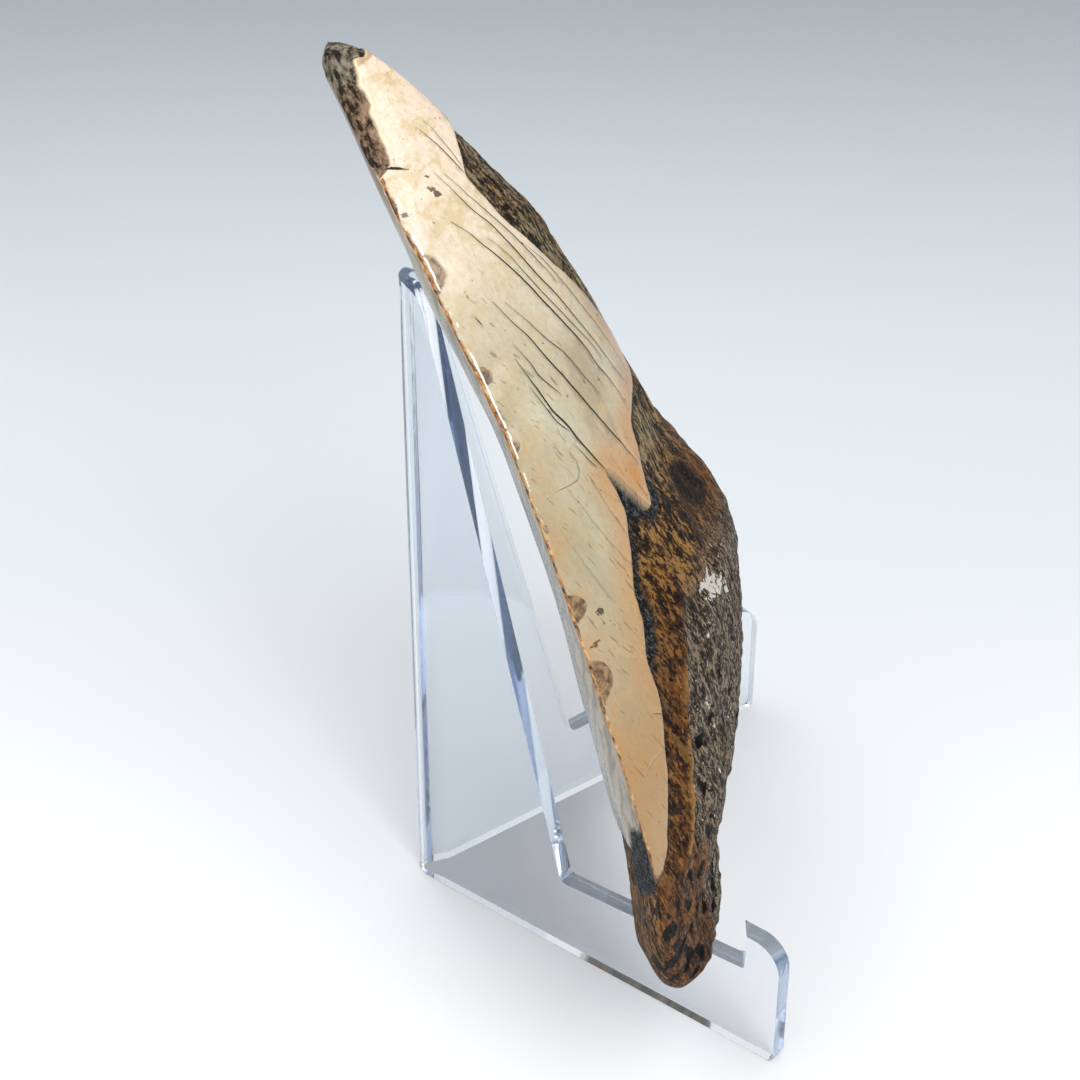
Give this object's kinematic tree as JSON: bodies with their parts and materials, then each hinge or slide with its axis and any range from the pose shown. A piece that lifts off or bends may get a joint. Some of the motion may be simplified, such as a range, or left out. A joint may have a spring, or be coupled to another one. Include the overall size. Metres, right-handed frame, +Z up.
{
  "type": "fossil megalodon tooth on a display stand",
  "caption": "Large fossil shark tooth leaning in a clear V-shaped easel with a slanted back edge, low arms and upturned front hooks.",
  "frame": {"origin": "centre of the bounding box on the plane that the stand rests on", "axes": "+Z up, -Y to the front, where the hooks and the bulging face of the tooth are, X across the tooth's width"},
  "size_m": [0.072, 0.0452, 0.0989],
  "materials": {
    "fossil": "satin enamel over a rough, dark, pitted root",
    "clear_plastic": "polished clear moulded plastic with fine scratches"
  },
  "bodies": {
    "root": {"fossil_tooth": "fossil", "display_stand": "clear_plastic"}
  },
  "joints": []
}
